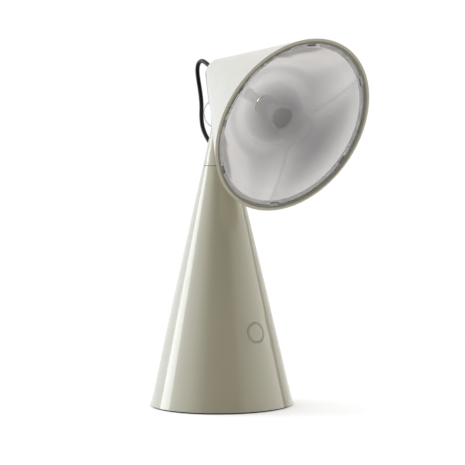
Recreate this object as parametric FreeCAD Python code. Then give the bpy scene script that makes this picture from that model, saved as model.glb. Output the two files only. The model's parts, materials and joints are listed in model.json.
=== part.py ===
import FreeCAD, Part
import math
import os

# Tabletop searchlight lamp: a cone-shaped head on a ball, on a turning neck, on a cone-shaped base.
# Millimetres. Origin: centre of the face that the lamp rests on. +Z up, and the lamp faces -Y.

# ---- driving dimensions ----
foot_radius = 72.4          # outer radius that the base cone's side has at z = 0
cone_slope = 0.232          # radius lost for each millimetre of height, on base and neck alike
wall = 2.2                  # of the base shell
pad_height = 1.5            # rubber pad under the base
joint_z = 240.0             # height of the line between base and neck
slip_height = 0.6           # thickness of the slip washer in that line
ball_z = 291.9              # height of the ball's centre
ball_radius = 15.8
cord_radius = 2.2

head_half_angle = 29.8      # of the head's cone, in degrees
head_dip = 24.3             # how far the head's axis points below level, in degrees
head_apex = (0.0, 25.2, 343.4)   # where the head's cone would come to a point
head_length = 156.9         # from that point to the plane of the rim
tip_at = 22.0               # from that point to the flat end of the head
head_wall = 1.8
rim_width = 3.4             # flat front face of the rim

button_z = 76.5             # height of the push button's centre
button_radius = 8.6
bezel_radius = 10.1         # of the ring round the button
button_travel = 1.2
button_turn = 2.1           # direction of the button from the head's, about Z, in degrees
button_gap = 0.5            # narrow groove each side of that ring

bowl_radius = 79.6          # reflector's mouth
bowl_slope = 0.62           # radius gained for each millimetre forwards, on the reflector's outer stretch
bowl_low = 80.0             # from the head's apex to the deepest point of the reflector
lens_radius = 84.4
lens_thickness = 3.0
lens_recess = 0.4           # from the rim's plane back to the lens
lens_seat_height = 0.8      # soft ring between the lens and the reflector's flange
leg_count = 6               # snap legs that hold the lens
leg_start = 33.0            # direction of the first leg from the head's +X, in degrees
led_count = 3
hub_radius = 12.0           # drum on the axis that carries the lamps on its back
hub_front = 136.4           # from the head's apex to the drum's face
hub_length = 29.0

running_gap = 0.3           # between curved faces that move past each other

# ---- worked out from them ----
X = FreeCAD.Vector(1, 0, 0)
Y = FreeCAD.Vector(0, 1, 0)
Z = FreeCAD.Vector(0, 0, 1)
O = FreeCAD.Vector(0, 0, 0)

cone_angle = math.degrees(math.atan(cone_slope))
wall_radial = wall / math.cos(math.radians(cone_angle))
head_tan = math.tan(math.radians(head_half_angle))
head_wall_radial = head_wall / math.cos(math.radians(head_half_angle))
rim_radius = head_length * head_tan
lens_back = head_length - lens_recess - lens_thickness
mouth = lens_back - lens_seat_height                    # plane of the reflector's flange
ball_centre = FreeCAD.Vector(0, 0, ball_z)


def cone_r(z):
    """Outer radius of the base and neck at a height."""
    return foot_radius - cone_slope * z


def cone_inner(z):
    return cone_r(z) - wall_radial


def head_inner(s):
    """Inner radius of the head's wall at a distance from its apex."""
    return s * head_tan - head_wall_radial


# ---- shapes ----
def v(x, y, z):
    return FreeCAD.Vector(x, y, z)


def turned(points):
    """A closed outline of (radius, height) pairs, turned about Z."""
    corners = [v(r, 0, z) for r, z in points]
    return Part.Face(Part.makePolygon(corners + [corners[0]])).revolve(O, Z, 360)


def rod(radius, low, high, x=0.0, y=0.0):
    return Part.makeCylinder(radius, high - low, v(x, y, low))


def ring(outer, inner, low, high):
    return rod(outer, low, high).cut(rod(inner, low - 1, high + 1))


def block(size_x, size_y, low, high, x=0.0, y=0.0):
    return Part.makeBox(size_x, size_y, high - low, v(x - size_x / 2, y - size_y / 2, low))


def prism(sides, across_flats, low, high):
    """A nut, or the socket in a screw's head."""
    radius = across_flats / 2 / math.cos(math.pi / sides)
    turns = [2 * math.pi * i / sides for i in range(sides)]
    corners = [v(radius * math.cos(t), radius * math.sin(t), low) for t in turns]
    return Part.Face(Part.makePolygon(corners + [corners[0]])).extrude(v(0, 0, high - low))


def cut_all(shape, tools):
    for tool in tools:
        shape = shape.cut(tool)
    return shape


def around(shape, count, start=0.0):
    """Copies of a shape, evenly spaced about Z."""
    copies = []
    for i in range(count):
        copy = shape.copy()
        copy.rotate(O, Z, start + 360.0 * i / count)
        copies.append(copy)
    return copies


def screw(shank, length, head, x, y, z):
    """A screw driven upwards: the underside of its low round head is at z."""
    head_height = shank * 0.9
    body = rod(shank, z, z + length, x, y).fuse(rod(head, z - head_height, z, x, y))
    socket = prism(6, shank * 1.2, z - head_height - 1, z - head_height * 0.4)
    socket.translate(v(x, y, 0))
    return body.cut(socket)


def in_frame(shape, frame):
    moved = shape.copy()
    moved.Placement = frame.multiply(moved.Placement)
    return moved


def base_cone(low, high, inset=0.0):
    """The filled base and neck cone between two heights, with its side moved inwards."""
    return Part.makeCone(cone_r(low) - inset, cone_r(high) - inset, high - low, v(0, 0, low))


def cord(name, corners):
    """A round cord along straight runs joined by tangent arcs, each as large as its runs allow."""
    start = corners[0]
    edges = []
    radii = []
    for before, corner, after in zip(corners, corners[1:], corners[2:]):
        back = (before - corner).normalize()
        on = (after - corner).normalize()
        reach = 0.45 * min((before - corner).Length, (after - corner).Length)
        half_turn = (math.pi - back.getAngle(on)) / 2
        bend = reach / math.tan(half_turn)
        middle = corner + (back + on).normalize() * (bend / math.cos(half_turn) - bend)
        edges.append(Part.LineSegment(start, corner + back * reach).toShape())
        edges.append(Part.Arc(corner + back * reach, middle, corner + on * reach).toShape())
        start = corner + on * reach
        radii.append("%.1f" % bend)
    edges.append(Part.LineSegment(start, corners[-1]).toShape())
    path = Part.Wire(edges)
    profile = Part.Wire(Part.makeCircle(cord_radius, corners[0], corners[1] - corners[0]))
    shape = path.makePipeShell([profile], True, True)
    expected = math.pi * cord_radius ** 2 * path.Length
    print(name, "length %.1f" % path.Length, "radii", " ".join(radii),
          "volume %.1f of %.1f" % (shape.Volume, expected))
    return shape


# ---- frames of the tilted parts ----
# head: origin at the cone's apex, +Z along its axis towards the rim, +Y up
head_frame = FreeCAD.Placement(v(*head_apex), FreeCAD.Rotation(X, 90 + head_dip))
# socket: origin at the ball's centre, +Z square through the head's lower wall
ball_in_head = head_frame.inverse().multVec(ball_centre)
socket_in_head = FreeCAD.Placement(ball_in_head, FreeCAD.Rotation(X, head_half_angle - 90))
# button: origin on the base cone's front, +Z straight in
button_frame = FreeCAD.Placement(O, FreeCAD.Rotation(Z, button_turn)).multiply(
    FreeCAD.Placement(v(0, -cone_r(button_z), button_z), FreeCAD.Rotation(X, -90 - cone_angle)))

# gland: origin on the base cone's back, +Z straight out
gland_z = 13.0
gland_frame = FreeCAD.Placement(v(0, cone_r(gland_z), gland_z), FreeCAD.Rotation(X, cone_angle - 90))

parts = {}

# ---- base ----
shell_high = joint_z - slip_height / 2
plate_high = 4.5            # top of the steel plate that closes the base
ring_high = 10.5            # top of the ring that the plate is screwed to
ballast_radius = 56.0
ballast_high = 30.0
ring_inner = 59.0
plate_screws = 4
plate_circle = 63.5
plate_shank = 1.5           # radii of the plate's screws
plate_head = 3.0
plate_seat = 3.0            # height at which their heads bear
ballast_bolts_used = 3
ballast_circle = 40.0
bolt_shank = 2.0
bolt_head = 4.0
bolt_seat = 3.3
bolt_length = 16.0
head_room = 0.2             # round a sunk screw head
gland_radius = 5.0
gland_bore = 3.1
collar_low = 222.0


def base_shell():
    shell = base_cone(pad_height, shell_high).cut(base_cone(pad_height, shell_high, wall_radial))
    button_hole = in_frame(rod(bezel_radius + button_gap, -6, 12), button_frame)
    gland_hole = in_frame(rod(gland_radius, -10, 6), gland_frame)
    return shell.cut(button_hole).cut(gland_hole)


def mount_ring():
    """Ring bonded inside the base shell, tapped for the plate's screws."""
    body = turned([(ring_inner, plate_high), (cone_inner(plate_high), plate_high),
                   (cone_inner(ring_high), ring_high), (ring_inner, ring_high)])
    gland_notch = block(14, 20, plate_high - 1, ring_high + 1, 0, plate_circle)
    taps = around(rod(plate_shank, 0, ring_high + 1, plate_circle), plate_screws, 45)
    return cut_all(body, taps + [gland_notch])


def base_plate():
    """Steel plate that closes the base, with its screws and the ballast's bolts sunk in it."""
    plate = rod(cone_inner(pad_height) - 1.0, pad_height, plate_high)
    holes = around(rod(plate_head + head_room, 0, plate_seat, plate_circle), plate_screws, 45)
    holes += around(rod(plate_shank, 0, plate_high + 1, plate_circle), plate_screws, 45)
    holes += around(rod(bolt_head + head_room, 0, bolt_seat, ballast_circle), ballast_bolts_used, 90)
    holes += around(rod(bolt_shank, 0, plate_high + 1, ballast_circle), ballast_bolts_used, 90)
    return cut_all(plate, holes)


def base_screws():
    one = screw(plate_shank, 7.0, plate_head, plate_circle, 0, plate_seat)
    return Part.makeCompound(around(one, plate_screws, 45))


def ballast_bolts():
    one = screw(bolt_shank, bolt_length, bolt_head, ballast_circle, 0, bolt_seat)
    return Part.makeCompound(around(one, ballast_bolts_used, 90))


def foot_pad():
    edge = foot_radius - 1.6
    return turned([(0, 0), (edge - 1.0, 0), (edge, 1.0), (edge, pad_height), (0, pad_height)])


def ballast():
    """Cast weight on the plate, with a bevelled top edge and a channel for the mains lead."""
    bore = 11.0
    shoulder = 20.0
    weight = turned([(bore, plate_high), (ballast_radius, plate_high), (ballast_radius, shoulder),
                     (ballast_radius - 6, ballast_high), (bore + 4, ballast_high), (bore, ballast_high - 4)])
    lead_channel = block(16, 60, plate_high - 1, shoulder, 0, 38)
    taps = around(rod(bolt_shank, 0, bolt_seat + bolt_length + 0.1, ballast_circle), ballast_bolts_used, 90)
    return cut_all(weight, [lead_channel] + taps)


def lead_gland():
    """Rubber bush at the back, low down, where the mains lead goes in."""
    barrel = in_frame(ring(gland_radius, gland_bore, -9, 2), gland_frame)
    flange = turned([(gland_bore, -1), (7.2, -1), (7.2, 1.0), (6.0, 2.6), (4.4, 3.2), (gland_bore, 3.2)])
    flange = in_frame(flange, gland_frame).cut(base_cone(1, 40))
    return barrel.fuse(flange)


parts["base_shell"] = base_shell()
parts["mount_ring"] = mount_ring()
parts["base_plate"] = base_plate()
parts["base_screws"] = base_screws()
parts["ballast_bolts"] = ballast_bolts()
parts["foot_pad"] = foot_pad()
parts["ballast"] = ballast()
parts["lead_gland"] = lead_gland()

# ---- driver and wiring in the base ----
driver_low = ballast_high
driver_high = 52.0
driver_y = 6.0
ear_x = 38.0                # the driver's screws, each side of the middle
ear_high = driver_low + 2.5
ear_shank = 1.6


def driver_box():
    """Closed box of the lamp's driver, with an ear at each end."""
    case = block(68, 38, driver_low, driver_high, 0, driver_y)
    edges = [e for e in case.Edges if abs(e.BoundBox.ZLength) > 20 or e.CenterOfMass.z > driver_high - 0.1]
    ears = block(2 * ear_x + 8, 12, driver_low, ear_high, 0, driver_y)
    ears = cut_all(ears, [rod(ear_shank, driver_low - 1, ear_high + 1, x, driver_y) for x in (-ear_x, ear_x)])
    return case.makeFillet(2.0, edges).fuse(ears)


def driver_screws():
    screws = []
    for x in (-ear_x, ear_x):
        one = rod(ear_shank, driver_low, ear_high, x, driver_y)
        screws.append(one.fuse(rod(2.9, ear_high, ear_high + 1.9, x, driver_y)))
    return Part.makeCompound(screws)


def terminal_block():
    """Three-way block where the mains lead is joined to the driver."""
    y = -22.0
    pitch = 7.0
    body = block(24, 12, driver_low, driver_low + 13, 0, y)
    clamps = [rod(1.8, driver_low + 8, driver_low + 14, x, y) for x in (-pitch, 0, pitch)]
    return cut_all(body, clamps)


parts["driver_box"] = driver_box()
parts["driver_screws"] = driver_screws()
parts["terminal_block"] = terminal_block()

# ---- swivel between base and neck ----
tube_radius = 7.0
tube_bore = 4.6
tube_low = 206.0
tube_high = 247.0
bush_radius = 8.6
bush_gap = 0.05             # running fit of the tube in its bush
lead_low = tube_low - 4     # where the turning lead meets the fixed one
stop_circle = 13.2
stop_pin_radius = 1.1
washer_radius = 11.0
nut_flats = 19.0
nut_height = 6.0


def swivel_collar():
    """Turned insert that closes the top of the base and holds the bush and the stop pin."""
    body = turned([(bush_radius, collar_low), (cone_inner(collar_low), collar_low),
                   (cone_inner(shell_high), shell_high), (bush_radius, shell_high)])
    return body.cut(rod(stop_pin_radius, 0, collar_low + 5, 0, -stop_circle))


def swivel_bush():
    """Flanged plastic bush that the tube turns in."""
    flange = washer_radius + 0.5
    bore = tube_radius + bush_gap
    return turned([(bore, collar_low - 1.5), (flange, collar_low - 1.5), (flange, collar_low),
                   (bush_radius, collar_low), (bush_radius, shell_high), (bore, shell_high)])


def stop_pin():
    return rod(stop_pin_radius, collar_low - 4.5, collar_low + 5, 0, -stop_circle)


def slip_washer():
    return ring(cone_r(joint_z) - 0.8, tube_radius, shell_high, joint_z + slip_height / 2)


def swivel_tube():
    return ring(tube_radius, tube_bore, tube_low, tube_high)


def stop_washer():
    """Washer that turns with the tube; its tab meets the stop pin before the lead can twist round."""
    high = collar_low - 1.8
    low = high - 1.2
    tab = block(2.6, 5, low, high, 0, washer_radius + 1.1)
    return ring(washer_radius, tube_radius, low, high).fuse(tab)


def spring_washer():
    """Dished washer that keeps the swivel from rattling."""
    high = collar_low - 3.0
    edge = washer_radius - 0.6
    return turned([(tube_radius, high - 1.0), (edge, high - 1.8), (edge, high - 0.8), (tube_radius, high)])


def swivel_nut():
    """Hexagon nut under the washers, with its corners turned off at both faces."""
    high = collar_low - 4.8
    low = high - nut_height
    face = nut_flats / 2 - 0.1
    corner = face + 1.8
    chamfers = turned([(0, low), (face, low), (corner, low + 1), (corner, high - 1), (face, high), (0, high)])
    return prism(6, nut_flats, low, high).common(chamfers).cut(rod(tube_radius, low - 1, high + 1))


parts["swivel_collar"] = swivel_collar()
parts["swivel_bush"] = swivel_bush()
parts["stop_pin"] = stop_pin()
parts["slip_washer"] = slip_washer()
parts["swivel_tube"] = swivel_tube()
parts["stop_washer"] = stop_washer()
parts["spring_washer"] = spring_washer()
parts["swivel_nut"] = swivel_nut()

# ---- neck, ball and the cord's way in ----
neck_low = joint_z + slip_height / 2
neck_high = 281.0           # sharp edge round the ball's seat
lead_space_high = 254.0     # top of the hollow where the lead turns down
stud_radius = 3.0
stud_low = 263.0
stud_high = 287.0
cord_entry = v(0, 12.9, 259.9)
entry_slope = 40.3          # how steeply the cord goes down into the neck, in degrees
entry_bore = 3.4
entry_frame = FreeCAD.Placement(cord_entry, FreeCAD.Rotation(X, 90 + entry_slope))


def neck_cone():
    """Solid turned cone with a cup for the ball, bored for the tube, the stud and the lead."""
    body = base_cone(neck_low, neck_high).cut(Part.makeSphere(ball_radius, ball_centre))
    bores = [rod(tube_radius, neck_low - 1, tube_high), rod(tube_bore, tube_high - 1, lead_space_high),
             rod(stud_radius, stud_low, neck_high), in_frame(rod(entry_bore, -3, 14), entry_frame)]
    return cut_all(body, bores)


def ball_stud():
    return rod(stud_radius, stud_low, stud_high)


def ball():
    below = ball_z - ball_radius - 5
    return Part.makeSphere(ball_radius, ball_centre).cut(rod(stud_radius, below, stud_high))


def neck_grommet():
    """Rubber bush round the cord, with a low flange outside the neck."""
    flange = 4.6
    bush = turned([(cord_radius, -0.6), (flange - 0.6, -0.6), (flange, 0.2), (flange, 1.4),
                   (entry_bore, 1.4), (entry_bore, 7.0), (cord_radius, 7.0)])
    return in_frame(bush, entry_frame).cut(parts["neck_cone"])


def neck_lead():
    """The cord's run inside the neck, from the grommet down through the swivel tube."""
    drop = cord_entry.y * math.tan(math.radians(entry_slope))
    return cord("neck_lead", [cord_entry, v(0, 0, cord_entry.z - drop), v(0, 0, lead_low)])


def riser_lead():
    """The lead from the driver up to the swivel."""
    return cord("riser_lead", [v(0, driver_y, driver_high), v(0, driver_y, 92), v(0, 0, 148),
                               v(0, 0, lead_low - running_gap)])


parts["neck_cone"] = neck_cone()
parts["ball_stud"] = ball_stud()
parts["ball"] = ball()
parts["neck_grommet"] = neck_grommet()
parts["neck_lead"] = neck_lead()
parts["riser_lead"] = riser_lead()

# ---- push button on the base ----
# heights here are depths behind the cone's surface, along the button's own axis
housing_radius = 13.0
housing_bore = 10.6
housing_low = 5.2
flange_at = 7.3             # front of the cap's flange, which keeps the cap in
flange_radius = 9.8
skirt_inner = 7.2
cap_thickness = 2.4
post_radius = 2.0
post_end = 9.5              # back end of the cap's post
board_at = 13.9
board_back = 15.5
switch_top = post_end + button_travel + 0.2
plunger_radius = 1.7


def button_bezel():
    """Ring round the button, flush with the cone, with a flange behind the shell's wall."""
    bore = button_radius + button_gap
    barrel = ring(bezel_radius, bore, -6, 7)
    flange = ring(housing_radius, bore, -6, housing_low)
    barrel = in_frame(barrel, button_frame).common(base_cone(40, 110))
    return barrel.fuse(in_frame(flange, button_frame).common(base_cone(40, 110, wall_radial)))


def button_cap():
    """Cap that follows the cone, with a skirt, a flange that keeps it in, and a post on the switch."""
    flange_end = flange_at + 1
    body = turned([(0, -6), (button_radius, -6), (button_radius, flange_at), (flange_radius, flange_at),
                   (flange_radius, flange_end), (skirt_inner, flange_end), (skirt_inner, cap_thickness),
                   (post_radius, cap_thickness), (post_radius, post_end), (0, post_end)])
    return in_frame(body, button_frame).common(base_cone(40, 110))


def button_housing():
    """Cup behind the button, with a slot in its floor for the switch's wires."""
    floor = board_back + 1.5
    cup = turned([(housing_bore, housing_low), (housing_radius, housing_low), (housing_radius, floor),
                  (0, floor), (0, board_back), (housing_bore, board_back)])
    return in_frame(cup.cut(block(6, 3, board_back - 0.5, floor + 1, 0, 8)), button_frame)


def switch_board():
    return in_frame(rod(housing_bore - 0.2, board_at, board_back), button_frame)


def tact_switch():
    well = rod(plunger_radius + 0.2, switch_top - 1, board_at - 0.3)
    return in_frame(block(6, 6, switch_top, board_at).cut(well), button_frame)


def switch_plunger():
    return in_frame(rod(plunger_radius, post_end, switch_top + 1.3), button_frame)


def return_ring():
    """Soft ring that pushes the cap back out."""
    front = flange_at + 1
    inner = skirt_inner + 0.4
    return in_frame(turned([(inner, front), (inner + 1.6, front), (inner + 2.2, board_at),
                            (inner + 0.6, board_at)]), button_frame)


parts["button_bezel"] = button_bezel()
parts["button_cap"] = button_cap()
parts["button_housing"] = button_housing()
parts["switch_board"] = switch_board()
parts["tact_switch"] = tact_switch()
parts["switch_plunger"] = switch_plunger()
parts["return_ring"] = return_ring()

# ---- head ----
tip_radius = tip_at * head_tan
end_wall = 2.0
bush_out = 1.8              # how far the cord's bush stands out of the tip
tip_bore = 4.2              # radius of the bush's hole in the tip
bulkhead_at = 72.0
bulkhead_high = bulkhead_at + 2.0
bowl_thickness = 1.0
bowl_edge = 84.0
lens_bevel = 0.5
rim_fit = 0.1               # between the seal and the rim
slot_room = 0.2             # round a leg, inwards and outwards
leg_width = 9.0
leg_inner = 81.4            # inner and outer radius of the lens's legs
leg_outer = 82.8
leg_gap = 0.8               # at each end of a leg, in its slot
gasket_recess = 0.7         # from the rim's plane back to the seal
cap_height = 2.4
drum_low = hub_front - hub_length
drum_high = hub_front - cap_height
board_low = drum_low - 1.2
stem_radius = 5.6
stem_bore = 2.6
hub_foot_radius = 12.0
foot_high = 77.6
hub_screw_circle = 9.0
hub_screw_radius = 1.2
hub_edge = 0.8              # bevels on the hub
lamp_start = 30.0           # direction of the first lamp from the head's +X, in degrees
lamp_side = 3.4
socket_bore = 9.5
socket_radius = 13.0
puck_low = 13.3             # heights along the socket's axis
puck_high = 18.6
magnet_high = 24.9
socket_high = 27.0


def circle_edge(body, radius, height):
    """The round edge of a turned body at a radius and a height."""
    return [e for e in body.Edges
            if abs(e.BoundBox.ZMin - height) < 0.01 and e.BoundBox.ZLength < 0.01
            and abs(e.BoundBox.XMax - radius) < 0.01]


def head_shell():
    """Spun cone with a flat tip, a beaded rim, and an opening that clears the ball."""
    bead = rim_radius - rim_width
    bead_low = (bead + head_wall_radial) / head_tan
    inside = tip_at + end_wall
    body = turned([(tip_bore, tip_at), (tip_radius, tip_at), (rim_radius, head_length),
                   (bead, head_length), (bead, bead_low), (head_inner(inside), inside), (tip_bore, inside)])
    body = body.makeFillet(2.0, circle_edge(body, tip_radius, tip_at))
    body = body.makeFillet(1.0, circle_edge(body, bead, head_length))
    body = body.makeFillet(0.5, circle_edge(body, rim_radius, head_length))
    return body.cut(Part.makeSphere(ball_radius + 0.5, ball_in_head))


def inside_head(low, high):
    """The filled space inside the head's wall."""
    return Part.makeCone(head_inner(low), head_inner(high), high - low, v(0, 0, low))


def socket_housing():
    """Turned cup on the inside of the head's wall, over the ball."""
    body = in_frame(rod(socket_radius, 4, socket_high), socket_in_head).common(inside_head(25, 90))
    return body.cut(in_frame(rod(socket_bore, 0, socket_high + 1), socket_in_head)).cut(
        Part.makeSphere(ball_radius + 0.6, ball_in_head))


def socket_liner():
    """Low-friction seat that stays on the ball; the head turns round it."""
    puck = rod(socket_bore - running_gap, puck_low, puck_high)
    seat_face = Part.makeSphere(ball_radius + running_gap, O)
    return in_frame(puck.cut(seat_face).cut(rod(2, 0, 30)), socket_in_head)


def magnet():
    return in_frame(ring(socket_bore, 2.0, puck_high + running_gap, magnet_high), socket_in_head)


def magnet_cap():
    cap = rod(socket_bore, magnet_high, socket_high).cut(block(13, 1.6, socket_high - 1, socket_high + 1))
    return in_frame(cap, socket_in_head)


def tip_bush():
    """Rubber bush in the head's tip, where the cord comes out along the axis."""
    out = tip_at - bush_out
    inside = tip_at + end_wall
    return turned([(cord_radius, out - 1.5), (3.2, out - 1.5), (5.6, out + 0.4), (5.6, tip_at),
                   (tip_bore, tip_at), (tip_bore, inside), (5.4, inside), (5.4, inside + 1.5),
                   (cord_radius, inside + 1.5)])


def head_lead():
    return rod(cord_radius, tip_at - bush_out - 1.5, foot_high + 6)


def bulkhead():
    """Disc across the head that carries the hub and takes its heat to the shell."""
    bore = cord_radius + 0.4
    body = turned([(bore, bulkhead_at), (head_inner(bulkhead_at), bulkhead_at),
                   (head_inner(bulkhead_high), bulkhead_high), (bore, bulkhead_high)])
    windows = around(rod(7.5, bulkhead_at - 1, bulkhead_high + 1, 26), led_count, -lamp_start)
    taps = around(rod(hub_screw_radius, bulkhead_at - 1, bulkhead_high + 1, hub_screw_circle),
                  led_count, lamp_start)
    return cut_all(body, windows + taps)


def hub_screws():
    one = screw(hub_screw_radius, 4.6, 2.2, hub_screw_circle, 0, bulkhead_at)
    return Part.makeCompound(around(one, led_count, lamp_start))


def led_hub():
    """Turned post on the axis: a foot, a thin stem, and a drum whose back carries the lamps."""
    post = turned([(0, bulkhead_high), (hub_foot_radius, bulkhead_high),
                   (hub_foot_radius, foot_high - hub_edge), (hub_foot_radius - hub_edge, foot_high),
                   (stem_radius, foot_high), (stem_radius, drum_low), (hub_radius - hub_edge, drum_low),
                   (hub_radius, drum_low + hub_edge), (hub_radius, drum_high), (0, drum_high)])
    holes = [rod(stem_bore, 0, foot_high + 6)]
    holes += around(rod(hub_screw_radius, 0, bulkhead_at + 4.8, hub_screw_circle), led_count, lamp_start)
    return cut_all(post, holes)


def led_board():
    """Round board on the back of the drum, facing the bowl."""
    return ring(hub_radius - hub_edge, stem_radius, board_low, drum_low)


def led_chips():
    circle = (stem_radius + hub_radius) / 2
    one = block(lamp_side, lamp_side, board_low - 1.0, board_low, circle)
    return Part.makeCompound(around(one, led_count, lamp_start))


def hub_cap():
    """Cap on the drum, with a narrow bevel and a slightly dished face."""
    bevel = 1.2
    dish_depth = 1.0
    dish_edge = hub_radius - bevel - 0.4
    dish_radius = (dish_edge ** 2 + dish_depth ** 2) / (2 * dish_depth)
    disc = turned([(0, drum_high), (hub_radius, drum_high), (hub_radius, hub_front - bevel),
                   (hub_radius - bevel, hub_front), (0, hub_front)])
    return disc.cut(Part.makeSphere(dish_radius, v(0, 0, hub_front - dish_depth + dish_radius)))


def leg_slots(inner, outer, low, high):
    """The openings that the lens's legs pass through."""
    slot = Part.makeBox(outer - inner, leg_width + 2 * leg_gap, high - low,
                        v(inner, -leg_width / 2 - leg_gap, low))
    return around(slot, leg_count, leg_start)


def reflector():
    """Thin bowl, round at the bottom and conical towards its mouth, with a slotted flange for the lens."""
    tilt = math.atan(bowl_slope)
    bowl_apex = mouth - bowl_radius / bowl_slope
    round_radius = (bowl_low - bowl_apex) / (1 / math.sin(tilt) - 1)
    centre = bowl_low + round_radius

    def on_round(angle, radius):
        """Point of the round bottom, at an angle from its deepest point."""
        return v(radius * math.sin(angle), 0, centre - radius * math.cos(angle))

    def bottom_arc(radius):
        first = math.asin((stem_radius + 0.4) / radius)
        last = math.pi / 2 - tilt
        return [on_round(angle, radius) for angle in (first, (first + last) / 2, last)]

    front = bottom_arc(round_radius)
    back = bottom_arc(round_radius + bowl_thickness)
    under = mouth - bowl_thickness
    back_mouth = (under - bowl_apex) * bowl_slope + bowl_thickness / math.cos(tilt)
    walls = Part.makePolygon([front[-1], v(bowl_radius, 0, mouth), v(bowl_edge, 0, mouth),
                              v(bowl_edge, 0, under), v(back_mouth, 0, under), back[-1]])
    outline = Part.Wire([Part.Arc(*front).toShape()] + walls.Edges + [Part.Arc(*back[::-1]).toShape()]
                        + [Part.makeLine(back[0], front[0])])
    bowl = Part.Face(outline).revolve(O, Z, 360)
    return cut_all(bowl, leg_slots(leg_inner - slot_room, leg_outer + slot_room, under - 0.2, mouth + 1))


def lens_seat():
    """Pale soft ring on the reflector's flange, notched for the lens's legs."""
    body = ring(bowl_edge - 0.2, bowl_radius + 0.6, mouth, lens_back)
    return cut_all(body, leg_slots(leg_inner - slot_room, bowl_edge + 1, mouth - 1, lens_back + 1))


def lens():
    """Clear moulded disc with a bevelled edge and snap legs that hook under the reflector's flange."""
    front_face = head_length - lens_recess
    body = turned([(0, lens_back), (lens_radius, lens_back), (lens_radius, front_face - lens_bevel),
                   (lens_radius - lens_bevel, front_face), (0, front_face)])
    hook_top = mouth - bowl_thickness - 0.1
    hook_low = hook_top - 1.4
    barb = leg_inner - 0.7
    root = lens_back + 0.5
    outline = [(leg_outer, root), (leg_outer, hook_low), (leg_inner, hook_low), (barb, hook_top - 0.4),
               (barb, hook_top), (leg_inner, hook_top), (leg_inner, root)]
    corners = [v(x, leg_width / 2, z) for x, z in outline]
    leg = Part.Face(Part.makePolygon(corners + [corners[0]])).extrude(v(0, -leg_width, 0))
    for one in around(leg, leg_count, leg_start):
        body = body.fuse(one)
    return body


def lens_gasket():
    """Black seal in the groove between the lens and the rim."""
    outer = rim_radius - rim_width - rim_fit
    low = (outer + head_wall_radial) / head_tan
    return ring(outer, lens_radius, low, head_length - gasket_recess)


head_parts = [head_shell, socket_housing, socket_liner, magnet, magnet_cap, tip_bush, head_lead, bulkhead,
              hub_screws, led_hub, led_board, led_chips, hub_cap, reflector, lens_seat, lens, lens_gasket]
for make in head_parts:
    parts[make.__name__] = in_frame(make(), head_frame)

# ---- free cord from the head's tip to the back of the neck ----
cord_exit = head_frame.multVec(v(0, 0, tip_at - bush_out - 1.5))
meeting = v(0, 30.4, 306.8)         # the two lengths meet here, in the middle of a straight run
upper_route = [cord_exit, v(0, 15.2, 338.9), v(0, 21.8, 342.6), v(0, 28.3, 345.2), v(0, 34.6, 342.6),
               v(0, 36.6, 335.4), v(0, 34.8, 326.0), v(0, 31.4, 313.1), meeting]
lower_route = [meeting, v(0, 29.4, 300.5), v(0, 30.4, 288.5), v(0, 28.2, 277.0), v(0, 20.8, 266.6),
               cord_entry]

parts["link_cord_upper"] = cord("link_cord_upper", upper_route)
parts["link_cord_lower"] = cord("link_cord_lower", lower_route)

os.makedirs("parts", exist_ok=True)
for name, shape in parts.items():
    shape.exportStep("parts/%s.step" % name)
print(len(parts), "parts written")
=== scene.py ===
import json
import math

import bpy
from mathutils import Matrix, Vector


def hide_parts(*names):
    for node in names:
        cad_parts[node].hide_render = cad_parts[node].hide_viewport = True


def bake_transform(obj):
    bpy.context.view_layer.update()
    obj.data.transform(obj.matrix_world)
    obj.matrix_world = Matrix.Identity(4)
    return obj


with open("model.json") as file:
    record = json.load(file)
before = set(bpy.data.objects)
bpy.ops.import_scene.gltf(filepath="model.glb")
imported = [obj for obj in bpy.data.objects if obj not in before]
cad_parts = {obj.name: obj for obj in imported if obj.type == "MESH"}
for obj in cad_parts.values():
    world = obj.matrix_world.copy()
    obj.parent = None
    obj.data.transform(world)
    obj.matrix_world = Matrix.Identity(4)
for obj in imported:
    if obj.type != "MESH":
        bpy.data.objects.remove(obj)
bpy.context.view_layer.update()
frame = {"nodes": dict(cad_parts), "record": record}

# metres; +Z is up, the lamp faces -Y, and the middle of its foot is at 0, 0, 0
nodes = frame["nodes"]
bpy.ops.object.select_all(action='DESELECT')
print("frame loaded:", len(nodes), "nodes")


def toColour(red, green, blue):
    # 0 to 255 as a picture shows it (sRGB), to the linear colour that a shader takes
    def channel(value):
        value /= 255
        return value / 12.92 if value <= 0.04045 else ((value + 0.055) / 1.055) ** 2.4
    return (channel(red), channel(green), channel(blue), 1.0)


def newTree(name):
    material = bpy.data.materials.new(name)
    material.use_nodes = True
    tree = material.node_tree
    shader = tree.nodes["Principled BSDF"]
    return material, tree, shader


def addNode(tree, kind, **settings):
    node = tree.nodes.new(kind)
    for key, value in settings.items():
        setattr(node, key, value)
    return node


def addMath(tree, operation, first, second=None):
    node = addNode(tree, "ShaderNodeMath", operation=operation)
    for socket, value in zip(node.inputs, (first, second)):
        if value is None:
            continue
        if isinstance(value, (int, float)):
            socket.default_value = value
        else:
            tree.links.new(value, socket)
    return node.outputs[0]


def addRange(tree, value, reach, **settings):
    # 0 to 1 while the value goes through the reach, unless To Min and To Max say otherwise
    node = addNode(tree, "ShaderNodeMapRange", **settings)
    node.inputs["From Min"].default_value, node.inputs["From Max"].default_value = reach
    tree.links.new(value, node.inputs["Value"])
    return node


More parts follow.
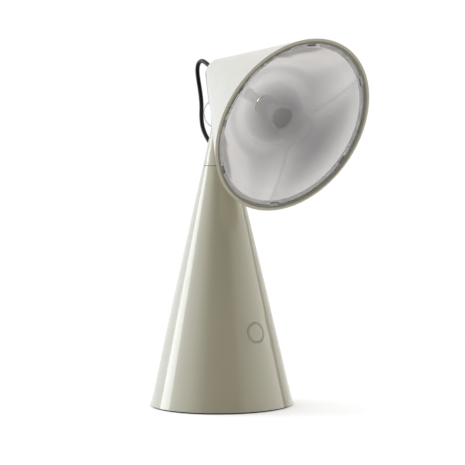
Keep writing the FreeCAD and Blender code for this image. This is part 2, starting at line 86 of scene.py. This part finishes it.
def newGroup(name, inputs, outputs):
    # inputs and outputs are lists of (name, kind, default) and of (name, kind)
    group = bpy.data.node_groups.new(name, "ShaderNodeTree")
    kinds = {"value": "NodeSocketFloat", "colour": "NodeSocketColor", "vector": "NodeSocketVector"}
    for label, kind, default in inputs:
        socket = group.interface.new_socket(name=label, in_out='INPUT', socket_type=kinds[kind])
        if default is not None:
            socket.default_value = default
    for label, kind in outputs:
        group.interface.new_socket(name=label, in_out='OUTPUT', socket_type=kinds[kind])
    return group, group.nodes.new("NodeGroupInput"), group.nodes.new("NodeGroupOutput")


def placeGroup(tree, group, **values):
    node = addNode(tree, "ShaderNodeGroup", node_tree=group)
    for label, value in values.items():
        socket = node.inputs[label]
        if isinstance(value, bpy.types.NodeSocket):
            tree.links.new(value, socket)
        else:
            socket.default_value = value
    return node


# the camera looks at the lamp's right front, nearly level
cameraView = {
    "distance": 2.0,                # from the camera to the middle of the picture
    "azimuth": -37.4,               # degrees from the front, towards the lamp's right hand
    "elevation": 3.34,
    "roll": -0.447,
    "aimHeight": 0.17276,
    "aimSideways": 0.01219,
    "framedWidth": 0.465,           # what the picture takes in at that distance
    "sensorWidth": 36,              # millimetres
}


def addCamera():
    azimuth = math.radians(cameraView["azimuth"])
    elevation = math.radians(cameraView["elevation"])
    roll = math.radians(cameraView["roll"])
    back = Vector((math.sin(azimuth) * math.cos(elevation), -math.cos(azimuth) * math.cos(elevation),
                   math.sin(elevation)))
    right = Vector((math.cos(azimuth), math.sin(azimuth), 0))
    up = back.cross(right)
    aim = Vector((0, 0, cameraView["aimHeight"])) + right * cameraView["aimSideways"]
    place = aim + back * cameraView["distance"]
    turnedRight = right * math.cos(roll) + up * math.sin(roll)
    turnedUp = up * math.cos(roll) - right * math.sin(roll)
    bpy.ops.object.camera_add()
    camera = bpy.context.object
    camera.name = "lampCamera"
    camera.matrix_world = Matrix((
        (turnedRight.x, turnedUp.x, back.x, place.x),
        (turnedRight.y, turnedUp.y, back.y, place.y),
        (turnedRight.z, turnedUp.z, back.z, place.z),
        (0, 0, 0, 1)))
    camera.data.sensor_width = cameraView["sensorWidth"]
    camera.data.lens = cameraView["sensorWidth"] * cameraView["distance"] / cameraView["framedWidth"]
    camera.data.dof.use_dof = False
    bpy.context.scene.camera = camera


addCamera()
print("camera placed")


# one free cord, from the tip of the head to the back of the neck, in two halves that meet
linkCord = {
    "radius": 0.0022,
    "sides": 20,
    "samplesPerPoint": 14,
    "mergeWithin": 1e-6,
    "meeting": (0, 0.0304, 0.3068),
    "upper": [(0, 0.008157, 0.335705), (0, 0.0152, 0.3389), (0, 0.0218, 0.3426), (0, 0.0283, 0.3452),
              (0, 0.0346, 0.3426), (0, 0.0366, 0.3354), (0, 0.0348, 0.3260), (0, 0.0314, 0.3131)],
    "lower": [(0, 0.0294, 0.3005), (0, 0.0304, 0.2885), (0, 0.0282, 0.2770), (0, 0.0208, 0.2666),
              (0, 0.0129, 0.2599)],
}


def smoothLine(points):
    # the line that a NURBS spline makes of given points
    curve = bpy.data.curves.new("cordLine", 'CURVE')
    curve.dimensions = '3D'
    curve.resolution_u = linkCord["samplesPerPoint"]
    spline = curve.splines.new('NURBS')
    spline.points.add(len(points) - 1)
    for point, place in zip(spline.points, points):
        point.co = (*place, 1)
    spline.order_u = 3
    spline.use_endpoint_u = True
    holder = bpy.data.objects.new("cordLine", curve)
    mesh = bpy.data.meshes.new_from_object(holder)
    line = [vertex.co.copy() for vertex in mesh.vertices]
    bpy.data.objects.remove(holder)
    bpy.data.curves.remove(curve)
    bpy.data.meshes.remove(mesh)
    return line


def cordTube(name, line):
    # a round tube along the line, which lies in the plane x = 0
    across = Vector((1, 0, 0))
    sides = linkCord["sides"]
    verts, faces = [], []
    for i, point in enumerate(line):
        along = (line[min(i + 1, len(line) - 1)] - line[max(i - 1, 0)]).normalized()
        out = across.cross(along)
        for k in range(sides):
            turn = 2 * math.pi * k / sides
            verts.append(point + (across * math.cos(turn) + out * math.sin(turn)) * linkCord["radius"])
    for i in range(len(line) - 1):
        for k in range(sides):
            a, b = i * sides + k, i * sides + (k + 1) % sides
            faces.append((a, b, b + sides, a + sides))
    faces.append(tuple(reversed(range(sides))))
    faces.append(tuple(range((len(line) - 1) * sides, len(line) * sides)))
    mesh = bpy.data.meshes.new(name)
    mesh.from_pydata(verts, [], faces)
    piece = bpy.data.objects.new(name, mesh)
    bpy.context.scene.collection.objects.link(piece)
    tidyFaces(piece)
    mesh.shade_smooth()
    return piece


def tidyFaces(piece):
    # merges doubles and turns every face outwards
    bpy.ops.object.select_all(action='DESELECT')
    bpy.context.view_layer.objects.active = piece
    piece.select_set(True)
    bpy.ops.object.mode_set(mode='EDIT')
    bpy.ops.mesh.select_all(action='SELECT')
    bpy.ops.mesh.remove_doubles(threshold=linkCord["mergeWithin"])
    bpy.ops.mesh.normals_make_consistent(inside=False)
    bpy.ops.object.mode_set(mode='OBJECT')
    piece.select_set(False)


def lineLength(line):
    return sum((b - a).length for a, b in zip(line, line[1:]))


def addLinkCord():
    meeting = linkCord["meeting"]
    upperLine = smoothLine(linkCord["upper"] + [meeting])
    lowerLine = smoothLine([meeting] + linkCord["lower"])
    upper = cordTube("linkCordUpper", upperLine)
    lower = cordTube("linkCordLower", lowerLine)
    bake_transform(lower)
    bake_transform(upper)
    halves = ((upper, upperLine, "link_cord_upper"), (lower, lowerLine, "link_cord_lower"))
    for piece, line, node in halves:
        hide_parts(node)
        print(piece.name, "length", round(lineLength(line), 4))
    return [upper, lower]


cordPieces = addLinkCord()
print("cord made")


# effects that several finishes share; grainMask and smearReach are the noise values between which
# a mask or a gloss goes from one end to the other
sharedEffects = {
    "grainMask": (0.35, 0.65),
    "driftDetail": 3.0,
    "smearDetail": 5.0, "smearDistortion": 0.8,
    "smearScale": 3.1,              # how much finer the smears are than the drift of colour
    "smearReach": (0.3, 0.7),
    "ringDetail": 3.0,
}


def makeFineGrain():
    # small even bumps: moulded skin, sprayed paint
    group, given, result = newGroup("fineGrain", [("Scale", "value", 600.0), ("Detail", "value", 2.0)],
                                    [("Height", "value"), ("Mask", "value")])
    place = addNode(group, "ShaderNodeTexCoord")
    noise = addNode(group, "ShaderNodeTexNoise")
    group.links.new(place.outputs["Object"], noise.inputs["Vector"])
    group.links.new(given.outputs["Scale"], noise.inputs["Scale"])
    group.links.new(given.outputs["Detail"], noise.inputs["Detail"])
    group.links.new(noise.outputs["Fac"], result.inputs["Height"])
    mask = addRange(group, noise.outputs["Fac"], sharedEffects["grainMask"])
    group.links.new(mask.outputs["Result"], result.inputs["Mask"])
    return group


def makeHandling():
    # slow change of colour and of gloss over a surface, as from spraying and from fingers
    group, given, result = newGroup(
        "handling",
        [("Colour", "colour", (0.5, 0.5, 0.5, 1)), ("Drift", "value", 0.03), ("Scale", "value", 14.0),
         ("Glossy", "value", 0.2), ("Dull", "value", 0.3)],
        [("Colour", "colour"), ("Roughness", "value")])
    place = addNode(group, "ShaderNodeTexCoord")
    wide = addNode(group, "ShaderNodeTexNoise")
    wide.inputs["Detail"].default_value = sharedEffects["driftDetail"]
    group.links.new(place.outputs["Object"], wide.inputs["Vector"])
    group.links.new(given.outputs["Scale"], wide.inputs["Scale"])
    shift = addMath(group, 'SUBTRACT', wide.outputs["Fac"], 0.5)    # noise is about 0.5 on average
    shift = addMath(group, 'MULTIPLY', shift, given.outputs["Drift"])
    shift = addMath(group, 'ADD', shift, 1.0)
    tint = addNode(group, "ShaderNodeVectorMath", operation='SCALE')
    group.links.new(given.outputs["Colour"], tint.inputs[0])
    group.links.new(shift, tint.inputs["Scale"])
    group.links.new(tint.outputs["Vector"], result.inputs["Colour"])
    smears = addNode(group, "ShaderNodeTexNoise")
    smears.inputs["Detail"].default_value = sharedEffects["smearDetail"]
    smears.inputs["Distortion"].default_value = sharedEffects["smearDistortion"]
    group.links.new(place.outputs["Object"], smears.inputs["Vector"])
    group.links.new(addMath(group, 'MULTIPLY', given.outputs["Scale"], sharedEffects["smearScale"]),
                    smears.inputs["Scale"])
    gloss = addRange(group, smears.outputs["Fac"], sharedEffects["smearReach"])
    group.links.new(given.outputs["Glossy"], gloss.inputs["To Min"])
    group.links.new(given.outputs["Dull"], gloss.inputs["To Max"])
    group.links.new(gloss.outputs["Result"], result.inputs["Roughness"])
    return group


def makeTurnMarks():
    # fine rings that a cutting tool leaves, around the axis that the vector's Z follows
    group, given, result = newGroup("turnMarks", [("Vector", "vector", None), ("Pitch", "value", 0.0004)],
                                    [("Height", "value")])
    split = addNode(group, "ShaderNodeSeparateXYZ")
    group.links.new(given.outputs["Vector"], split.inputs["Vector"])
    square = addMath(group, 'ADD', addMath(group, 'MULTIPLY', split.outputs["X"], split.outputs["X"]),
                     addMath(group, 'MULTIPLY', split.outputs["Y"], split.outputs["Y"]))
    reach = addMath(group, 'ADD', addMath(group, 'SQRT', square), split.outputs["Z"])
    steps = addMath(group, 'DIVIDE', reach, given.outputs["Pitch"])
    noise = addNode(group, "ShaderNodeTexNoise", noise_dimensions='1D')
    noise.inputs["Scale"].default_value = 1.0
    noise.inputs["Detail"].default_value = sharedEffects["ringDetail"]
    group.links.new(steps, noise.inputs["W"])
    group.links.new(noise.outputs["Fac"], result.inputs["Height"])
    return group


fineGrain = makeFineGrain()
handling = makeHandling()
turnMarks = makeTurnMarks()


# In the finishes below, drift is how far the colour wanders and patches how closely, per metre;
# glossy and dull are the roughness of the cleanest and of the most handled spots.

def addSurface(tree, shader, finish):
    smears = placeGroup(tree, handling, Colour=finish["colour"], Drift=finish["drift"],
                        Scale=finish["patches"], Glossy=finish["glossy"], Dull=finish["dull"])
    tree.links.new(smears.outputs["Colour"], shader.inputs["Base Color"])
    tree.links.new(smears.outputs["Roughness"], shader.inputs["Roughness"])


def addBump(tree, shader, height, finish):
    bump = addNode(tree, "ShaderNodeBump")
    bump.inputs["Strength"].default_value = finish["bump"]
    bump.inputs["Distance"].default_value = finish["bumpDepth"]
    tree.links.new(height, bump.inputs["Height"])
    tree.links.new(bump.outputs["Normal"], shader.inputs["Normal"])


def addGrain(tree, shader, finish):
    grain = placeGroup(tree, fineGrain, Scale=finish["grainScale"], Detail=finish["grainDetail"])
    addBump(tree, shader, grain.outputs["Height"], finish)


paintFinish = {
    "colour": toColour(166, 159, 136), "drift": 0.035, "patches": 11.0,
    "glossy": 0.30, "dull": 0.38,
    "coat": 1.0, "coatRoughness": 0.01,
    "grainScale": 420.0, "grainDetail": 1.5, "bump": 0.02, "bumpDepth": 0.0002,    # orange peel
}


def bodyPaint():
    material, tree, shader = newTree("bodyPaint")
    addSurface(tree, shader, paintFinish)
    shader.inputs["Coat Weight"].default_value = paintFinish["coat"]
    shader.inputs["Coat Roughness"].default_value = paintFinish["coatRoughness"]
    addGrain(tree, shader, paintFinish)
    return material


chromeFinish = {
    "colour": toColour(236, 237, 238), "drift": 0.02, "patches": 30.0,
    "glossy": 0.02, "dull": 0.06,
    "edgeTint": (0.45, 0.45, 0.46, 1),
}


def mirrorChrome():
    material, tree, shader = newTree("mirrorChrome")
    addSurface(tree, shader, chromeFinish)
    shader.inputs["Metallic"].default_value = 1.0
    shader.inputs["Specular Tint"].default_value = chromeFinish["edgeTint"]
    return material


# black sheath, bushes, foot pad, the lens's seal and seat; mirrored is the shader's specular level
rubberSkin = {"drift": 0.25, "patches": 40.0, "grainScale": 1500.0, "grainDetail": 3.0, "bumpDepth": 0.0001}
rubberFinishes = {
    "blackSheath": {"colour": toColour(12, 12, 12), "glossy": 0.15, "dull": 0.25,
                    "bump": 0.1, "mirrored": 0.18},
    "blackRubber": {"colour": toColour(20, 20, 20), "glossy": 0.45, "dull": 0.6,
                    "bump": 0.35, "mirrored": 0.2},
    "sealGrey": {"colour": toColour(124, 115, 101), "glossy": 0.35, "dull": 0.45,
                 "bump": 0.2, "mirrored": 0.5},
    "paleSilicone": {"colour": toColour(246, 243, 238), "glossy": 0.4, "dull": 0.5,
                     "bump": 0.1, "mirrored": 0.5},
}


def smoothRubber(name):
    finish = {**rubberSkin, **rubberFinishes[name]}
    material, tree, shader = newTree(name)
    shader.inputs["Specular IOR Level"].default_value = finish["mirrored"]
    addSurface(tree, shader, finish)
    addGrain(tree, shader, finish)
    return material


plasticSkin = {"drift": 0.06, "patches": 25.0, "glossy": 0.36, "dull": 0.48,
               "grainScale": 2200.0, "grainDetail": 2.0, "bump": 0.25, "bumpDepth": 0.0001}
plasticColours = {"blackPlastic": toColour(20, 20, 20), "whiteNylon": toColour(226, 224, 216)}


def mouldedPlastic(name):
    material, tree, shader = newTree(name)
    finish = {**plasticSkin, "colour": plasticColours[name]}
    addSurface(tree, shader, finish)
    addGrain(tree, shader, finish)
    return material


headAxis = {"apex": (0, 0.0252, 0.3434), "dip": 24.3}    # dip in degrees below level


def headCoordinates(tree):
    # object coordinates turned so that Z runs along the head's axis
    place = addNode(tree, "ShaderNodeTexCoord")
    mapping = addNode(tree, "ShaderNodeMapping", vector_type='TEXTURE')
    mapping.inputs["Location"].default_value = headAxis["apex"]
    mapping.inputs["Rotation"].default_value = (math.radians(90 + headAxis["dip"]), 0, 0)
    tree.links.new(place.outputs["Object"], mapping.inputs["Vector"])
    return mapping.outputs["Vector"]


def plainCoordinates(tree):
    return addNode(tree, "ShaderNodeTexCoord").outputs["Object"]


# pitch is the distance between the tool's rings; the glow is painted light, a glow of the part's own that
# stands for light mirrored many times inside
metalSkin = {"drift": 0.05, "patches": 22.0, "bumpDepth": 0.00005, "glow": 0.0, "glowColour": (1, 1, 1, 1)}
metalFinishes = {
    # the bowl's glow is painted light, standing for light mirrored many times inside
    "bowlSilverPaintedGlow": {"colour": toColour(246, 244, 243), "drift": 0.04, "pitch": 0.0008,
                   "glossy": 0.09, "dull": 0.12, "bump": 0.01,
                   "glow": 0.055, "glowColour": (1.0, 0.99, 0.98, 1)},
    "turnedAluminium": {"colour": toColour(212, 212, 212), "pitch": 0.0003,
                        "glossy": 0.22, "dull": 0.32, "bump": 0.2},
    "zincSteel": {"colour": toColour(196, 196, 194), "pitch": 0.0005,
                  "glossy": 0.3, "dull": 0.45, "bump": 0.1},
    "nickelPlate": {"colour": toColour(206, 204, 198), "pitch": 0.0006,
                    "glossy": 0.12, "dull": 0.2, "bump": 0.05},
    # the hub's glow is painted light, lifting the drum's side to the bowl's brightness
    "satinHubPaintedGlow": {"colour": toColour(230, 228, 226), "pitch": 0.0004,
                 "glossy": 0.10, "dull": 0.14, "bump": 0.02, "glow": 0.08},
    "satinCap": {"colour": toColour(232, 230, 228), "pitch": 0.0004,
                 "glossy": 0.16, "dull": 0.22, "bump": 0.02},
}


def turnedMetal(name, coordinates):
    finish = {**metalSkin, **metalFinishes[name]}
    material, tree, shader = newTree(name)
    addSurface(tree, shader, finish)
    shader.inputs["Metallic"].default_value = 1.0
    # painted light where the finish has a glow: the bowl and the hub glow though they are no lamps
    shader.inputs["Emission Color"].default_value = finish["glowColour"]
    shader.inputs["Emission Strength"].default_value = finish["glow"]
    rings = placeGroup(tree, turnMarks, Vector=coordinates(tree), Pitch=finish["pitch"])
    addBump(tree, shader, rings.outputs["Height"], finish)
    return material


# the lens's tint is painted shade: it darkens the lens towards its middle, standing for the soft shading in
# the bowl's middle
lensFinish = {
    "middle": (0.36, 0.355, 0.355, 1), "edge": (0.985, 0.99, 0.985, 1),
    "fade": (0.0, 0.07), "power": 1.2,     # distance from the axis over which the painted shade goes
    "patches": 9.0, "glossy": 0.0, "dull": 0.02,
    "refraction": 1.49,
}


def lensWithPaintedShade():
    material, tree, shader = newTree("lensWithPaintedShade")
    flat = addNode(tree, "ShaderNodeVectorMath", operation='MULTIPLY')
    flat.inputs[1].default_value = (1, 1, 0)    # only the distance across the head's axis counts
    tree.links.new(headCoordinates(tree), flat.inputs[0])
    reach = addNode(tree, "ShaderNodeVectorMath", operation='LENGTH')
    tree.links.new(flat.outputs["Vector"], reach.inputs[0])
    fade = addRange(tree, reach.outputs["Value"], lensFinish["fade"])
    # painted shade: the lens goes from the dark middle to the clear edge
    tint = addNode(tree, "ShaderNodeMix", data_type='RGBA')
    tint.inputs["A"].default_value = lensFinish["middle"]
    tint.inputs["B"].default_value = lensFinish["edge"]
    tree.links.new(addMath(tree, 'POWER', fade.outputs["Result"], lensFinish["power"]), tint.inputs["Factor"])
    tree.links.new(tint.outputs["Result"], shader.inputs["Base Color"])
    smears = placeGroup(tree, handling, Scale=lensFinish["patches"], Glossy=lensFinish["glossy"],
                        Dull=lensFinish["dull"])
    tree.links.new(smears.outputs["Roughness"], shader.inputs["Roughness"])
    shader.inputs["Transmission Weight"].default_value = 1.0
    shader.inputs["IOR"].default_value = lensFinish["refraction"]
    return material


phosphorFinish = {
    "dark": toColour(240, 186, 92), "light": toColour(252, 214, 140),
    "grainScale": 5000.0, "grainDetail": 1.0,
    "roughness": 0.25,
    "glow": 6.0, "glowColour": toColour(255, 214, 150),
}


def phosphor():
    material, tree, shader = newTree("phosphor")
    grain = placeGroup(tree, fineGrain, Scale=phosphorFinish["grainScale"],
                       Detail=phosphorFinish["grainDetail"])
    mix = addNode(tree, "ShaderNodeMix", data_type='RGBA')
    mix.inputs["A"].default_value = phosphorFinish["dark"]
    mix.inputs["B"].default_value = phosphorFinish["light"]
    tree.links.new(grain.outputs["Mask"], mix.inputs["Factor"])
    tree.links.new(mix.outputs["Result"], shader.inputs["Base Color"])
    shader.inputs["Roughness"].default_value = phosphorFinish["roughness"]
    shader.inputs["Emission Color"].default_value = phosphorFinish["glowColour"]
    shader.inputs["Emission Strength"].default_value = phosphorFinish["glow"]
    return material


boardFinish = {"colour": toColour(226, 228, 224), "drift": 0.03, "patches": 60.0,
               "glossy": 0.25, "dull": 0.35}


def solderMask():
    material, tree, shader = newTree("solderMask")
    addSurface(tree, shader, boardFinish)
    return material


ironFinish = {
    "colour": toColour(74, 73, 72), "drift": 0.3, "patches": 60.0, "glossy": 0.5, "dull": 0.75,
    "metallic": 0.8,
    "grainScale": 900.0, "grainDetail": 4.0, "bump": 0.6, "bumpDepth": 0.0004,
}


def castIron():
    material, tree, shader = newTree("castIron")
    addSurface(tree, shader, ironFinish)
    shader.inputs["Metallic"].default_value = ironFinish["metallic"]
    addGrain(tree, shader, ironFinish)
    return material


finishes = {
    "body_paint": bodyPaint(),
    "ball_chrome": mirrorChrome(),
    "cord_black": smoothRubber("blackSheath"),
    "black_rubber": smoothRubber("blackRubber"),
    "seal_grey": smoothRubber("sealGrey"),
    "black_plastic": mouldedPlastic("blackPlastic"),
    "white_nylon": mouldedPlastic("whiteNylon"),
    "reflector_silver": turnedMetal("bowlSilverPaintedGlow", headCoordinates),
    "grey_silicone": smoothRubber("paleSilicone"),
    "lens_clear": lensWithPaintedShade(),
    "turned_aluminium": turnedMetal("turnedAluminium", headCoordinates),
    "plain_steel": turnedMetal("zincSteel", plainCoordinates),
    "nickel_magnet": turnedMetal("nickelPlate", headCoordinates),
    "iron_casting": castIron(),
    "circuit_board": solderMask(),
    "led_amber": phosphor(),
}
ownFinishes = {         # nodes that differ from the rest of their slot
    "led_hub": turnedMetal("satinHubPaintedGlow", headCoordinates),
    "hub_cap": turnedMetal("satinCap", headCoordinates),
}


def dressNodes():
    slots = {part["node"]: part["material_slot"] for part in frame["record"]["subparts"]}
    for name, node in nodes.items():
        node.data.materials.clear()
        node.data.materials.append(ownFinishes.get(name, finishes[slots[name]]))
    for piece in cordPieces:
        piece.data.materials.append(finishes["cord_black"])


dressNodes()
print("finishes applied")


studio = {
    "floorSize": 14.0,
    "floorColour": toColour(230, 230, 230),
    "floorRoughness": 0.9, "floorMirrored": 0.1,
    "floorLift": 0.26,              # white added where it is seen, so that only the shadow stays grey
    "shadowReach": (0.22, 0.55),    # from the lamp's middle: the floor's own shade, then plain white
    "surroundings": [               # degrees from the camera, to the right: colour of the light from there
        (-180, (0.9, 0.88, 0.88)), (-120, (1.36, 1.5, 1.7)), (-90, (1.42, 1.6, 1.84)),
        (-60, (1.47, 1.56, 1.57)), (-25, (0.03, 0.03, 0.03)), (0, (0.03, 0.03, 0.03)),
        (28, (0.04, 0.03, 0.05)), (40, (0.68, 0.63, 0.59)), (75, (1.29, 1.38, 1.33)),
        (118, (1.98, 2.0, 2.0)), (119.5, (0.02, 0.02, 0.02)), (127, (0.02, 0.02, 0.02)),
        (128.5, (0.93, 0.95, 0.9)), (180, (0.9, 0.88, 0.88))],
    "fromAbove": (0.87, 0.85, 0.84),
    "aboveReach": (0.45, 0.9),      # how steeply up a direction points, 1 straight up, as that light comes in
    "throughLens": (0.68, 0.675, 0.68),    # what the bowl mirrors: the room, evened out
    "brightest": 2.0,
    "lampsAim": (0, 0, 0.18),
    "lamps": [                      # place is to the right, towards the camera and up
        {"name": "leftWindow", "place": (-1.46, -0.33, 0.5), "size": (0.62, 1.7), "watts": 12.9,
         "colour": (0.94, 0.975, 1.0)},
        {"name": "overhead", "place": (-0.3, -0.5, 1.7), "size": (1.4, 1.4), "watts": 6.45,
         "colour": (1.0, 1.0, 1.0)},
    ],
}


def viewDirections():
    # level unit vectors of the camera's view: to its right, and towards it
    azimuth = math.radians(cameraView["azimuth"])
    return (Vector((math.cos(azimuth), math.sin(azimuth), 0)),
            Vector((math.sin(azimuth), -math.cos(azimuth), 0)))


def seenRays(tree):
    # 1 where the surface is seen by the camera, in a mirror or through glass
    path = addNode(tree, "ShaderNodeLightPath")
    total = addMath(tree, 'ADD', path.outputs["Is Camera Ray"], path.outputs["Is Glossy Ray"])
    return addMath(tree, 'MINIMUM', addMath(tree, 'ADD', total, path.outputs["Is Transmission Ray"]), 1.0)


def mirroredRays(tree):
    # 1 for what the bowl mirrors out through its lens
    path = addNode(tree, "ShaderNodeLightPath")
    return addMath(tree, 'MULTIPLY', path.outputs["Is Transmission Ray"],
                   addMath(tree, 'MINIMUM', path.outputs["Glossy Depth"], 1.0))


def addFloor():
    bpy.ops.object.select_all(action='DESELECT')
    bpy.ops.mesh.primitive_plane_add(size=studio["floorSize"])
    floor = bpy.context.object
    floor.name = "studioFloor"
    material, tree, shader = newTree("studioFloor")
    shader.inputs["Base Color"].default_value = studio["floorColour"]
    shader.inputs["Roughness"].default_value = studio["floorRoughness"]
    shader.inputs["Specular IOR Level"].default_value = studio["floorMirrored"]
    shader.inputs["Emission Color"].default_value = (1, 1, 1, 1)
    tree.links.new(addMath(tree, 'MULTIPLY', seenRays(tree), studio["floorLift"]),
                   shader.inputs["Emission Strength"])
    # far from the lamp, the camera sees plain white
    reach = addNode(tree, "ShaderNodeVectorMath", operation='LENGTH')
    tree.links.new(plainCoordinates(tree), reach.inputs[0])
    fade = addRange(tree, reach.outputs["Value"], studio["shadowReach"], interpolation_type='SMOOTHSTEP')
    seen = addNode(tree, "ShaderNodeLightPath").outputs["Is Camera Ray"]
    plain = addNode(tree, "ShaderNodeEmission")
    mix = addNode(tree, "ShaderNodeMixShader")
    tree.links.new(addMath(tree, 'MULTIPLY', seen, fade.outputs["Result"]), mix.inputs[0])
    tree.links.new(shader.outputs[0], mix.inputs[1])
    tree.links.new(plain.outputs[0], mix.inputs[2])
    evened = addNode(tree, "ShaderNodeEmission")
    evened.inputs["Color"].default_value = (*studio["throughLens"], 1)
    inBowl = addNode(tree, "ShaderNodeMixShader")
    tree.links.new(mirroredRays(tree), inBowl.inputs[0])
    tree.links.new(mix.outputs[0], inBowl.inputs[1])
    tree.links.new(evened.outputs[0], inBowl.inputs[2])
    tree.links.new(inBowl.outputs[0], tree.nodes["Material Output"].inputs["Surface"])
    floor.data.materials.append(material)


def skyShare(colour):
    # the sky's strength is that of its brightest place, so its colours are shares of that
    return (*[part / studio["brightest"] for part in colour], 1)


def addWorld():
    world = bpy.data.worlds.new("studioWorld")
    bpy.context.scene.world = world
    world.use_nodes = True
    tree = world.node_tree
    sky = tree.nodes["Background"]
    right, towards = viewDirections()
    place = addNode(tree, "ShaderNodeTexCoord")

    def along(direction):
        dot = addNode(tree, "ShaderNodeVectorMath", operation='DOT_PRODUCT')
        dot.inputs[1].default_value = direction
        tree.links.new(place.outputs["Generated"], dot.inputs[0])
        return dot.outputs["Value"]

    turn = addMath(tree, 'ARCTAN2', along(right), along(towards))
    share = addMath(tree, 'ADD', addMath(tree, 'DIVIDE', turn, 2 * math.pi), 0.5)
    ramp = addNode(tree, "ShaderNodeValToRGB")
    stops = ramp.color_ramp.elements
    stops.remove(stops[1])
    for degrees, colour in studio["surroundings"]:
        at = degrees / 360 + 0.5
        stop = stops.new(at) if at > 0 else stops[0]
        stop.color = skyShare(colour)
    tree.links.new(share, ramp.inputs["Fac"])
    high = addRange(tree, along((0, 0, 1)), studio["aboveReach"], interpolation_type='SMOOTHSTEP')

    def mixSky(factor, first, second):
        # the first is a socket and the second a plain colour
        mix = addNode(tree, "ShaderNodeMix", data_type='RGBA')
        tree.links.new(factor, mix.inputs["Factor"])
        tree.links.new(first, mix.inputs["A"])
        mix.inputs["B"].default_value = skyShare(second)
        return mix.outputs["Result"]

    around = mixSky(high.outputs["Result"], ramp.outputs["Color"], studio["fromAbove"])
    inBowl = mixSky(mirroredRays(tree), around, studio["throughLens"])
    seen = addNode(tree, "ShaderNodeLightPath").outputs["Is Camera Ray"]
    tree.links.new(mixSky(seen, inBowl, (1, 1, 1)), sky.inputs["Color"])
    sky.inputs["Strength"].default_value = studio["brightest"]


def addLamps():
    right, towards = viewDirections()
    aim = Vector(studio["lampsAim"])
    for lamp in studio["lamps"]:
        x, y, z = lamp["place"]
        place = right * x + towards * y + Vector((0, 0, z))
        bpy.ops.object.light_add(type='AREA', location=place)
        light = bpy.context.object
        light.name = lamp["name"]
        light.rotation_euler = (place - aim).to_track_quat('Z', 'Y').to_euler()
        light.data.shape = 'RECTANGLE'
        light.data.size, light.data.size_y = lamp["size"]
        light.data.energy = lamp["watts"]
        light.data.color = lamp["colour"]


addFloor()
addWorld()
addLamps()
bpy.context.scene.view_settings.view_transform = 'Standard'
print("studio lit")
